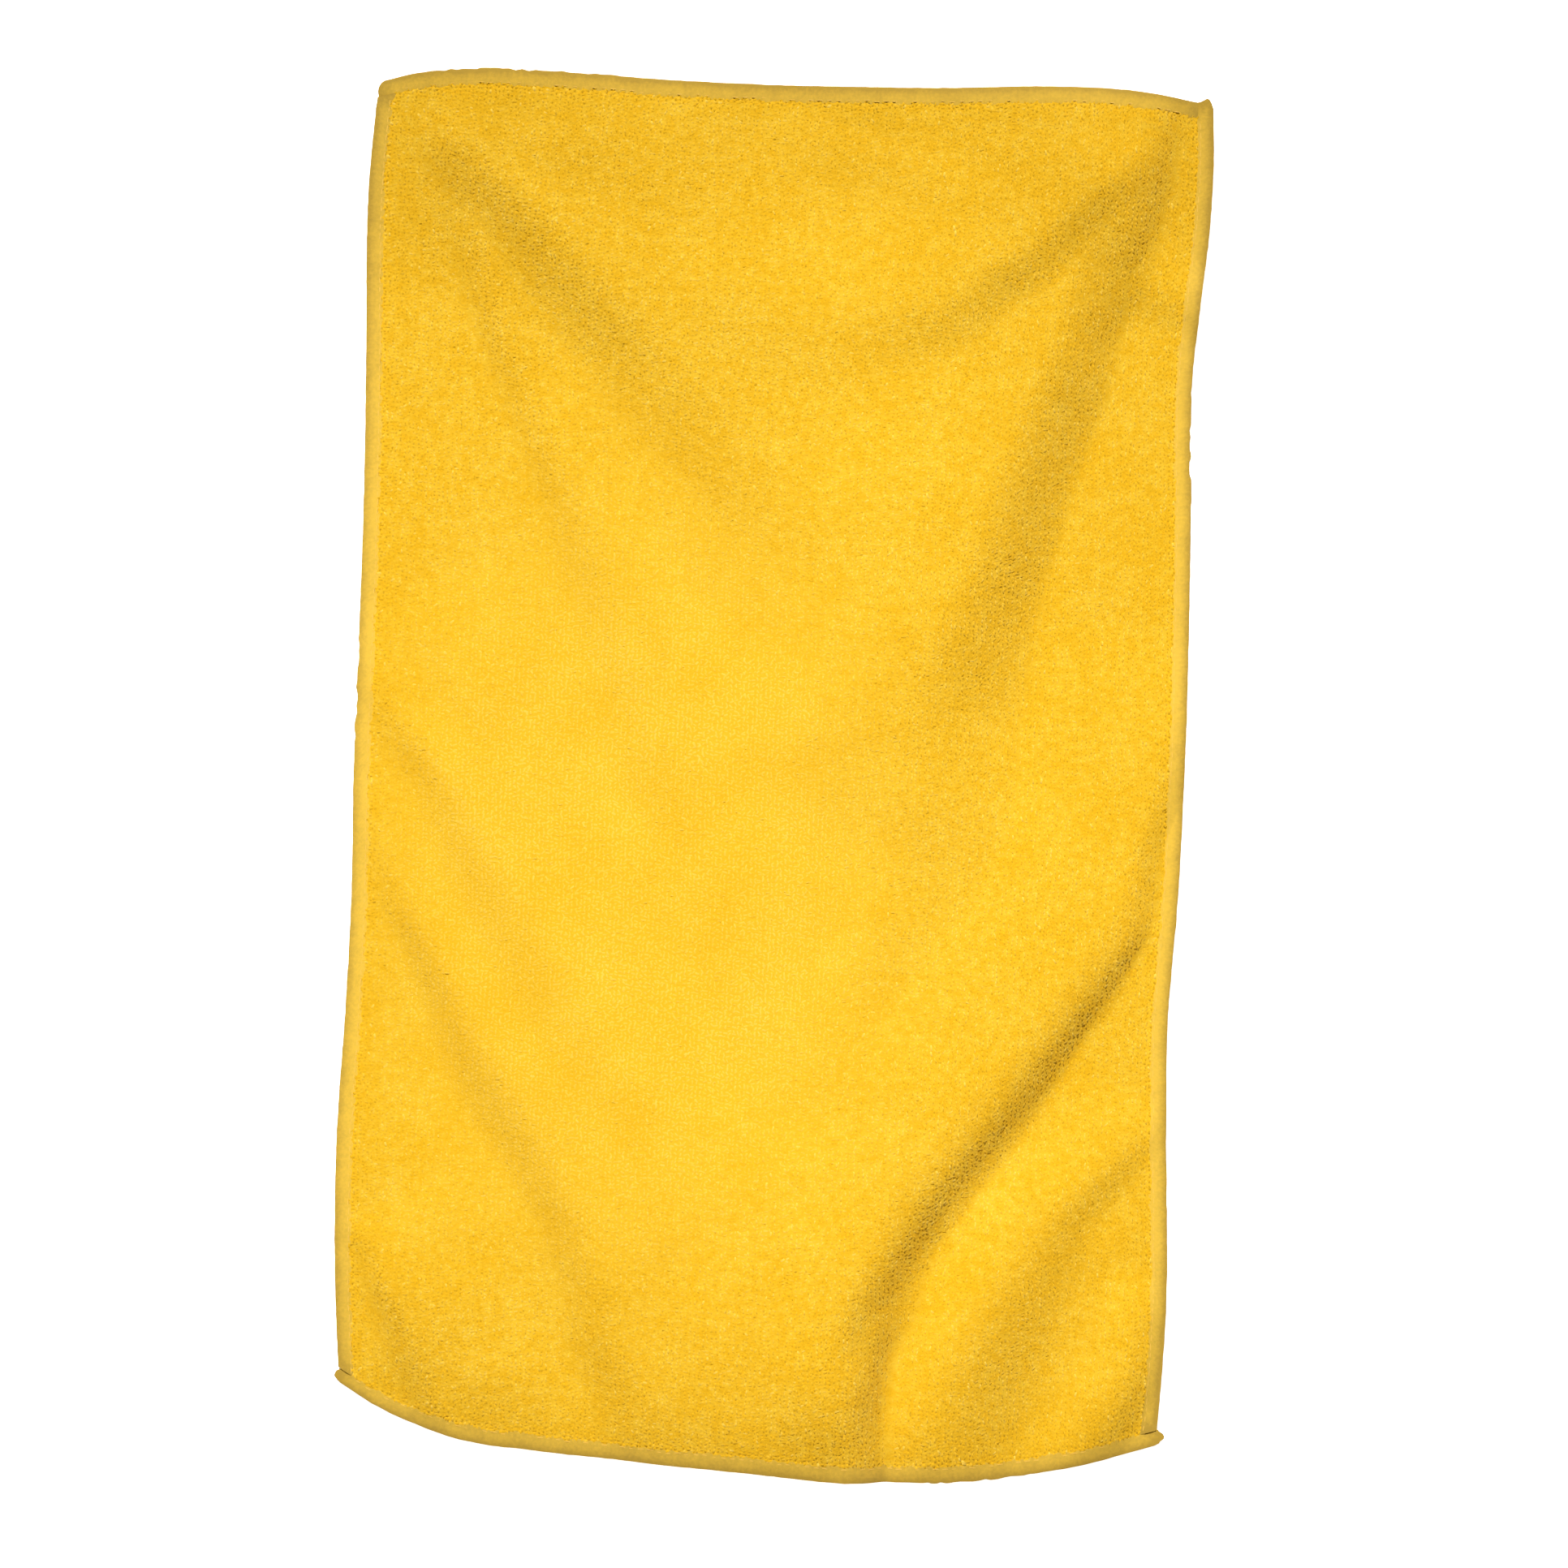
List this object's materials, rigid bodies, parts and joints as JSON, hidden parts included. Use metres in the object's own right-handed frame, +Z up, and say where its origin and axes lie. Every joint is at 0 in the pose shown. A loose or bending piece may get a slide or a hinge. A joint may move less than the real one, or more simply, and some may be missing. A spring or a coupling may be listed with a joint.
{
  "type": "rally towel",
  "caption": "Oblong terry hand towel with a serged thread edging, laid out face up on a surface with soft slanting folds.",
  "frame": {"origin": "middle of the towel's bounding box, on the surface that it lies on", "axes": "+X across the towel to the right, +Y along its length to the top edge, +Z up out of its face"},
  "size_m": [0.274, 0.4513, 0.0172],
  "materials": {
    "terry": "matt looped pile, bright yellow",
    "edging_thread": "soft satin sewing thread, slightly paler yellow"
  },
  "bodies": {
    "root": {"terry_panel": "terry", "overlock_top": "edging_thread", "overlock_right": "edging_thread", "overlock_bottom": "edging_thread", "overlock_left": "edging_thread"}
  },
  "joints": []
}
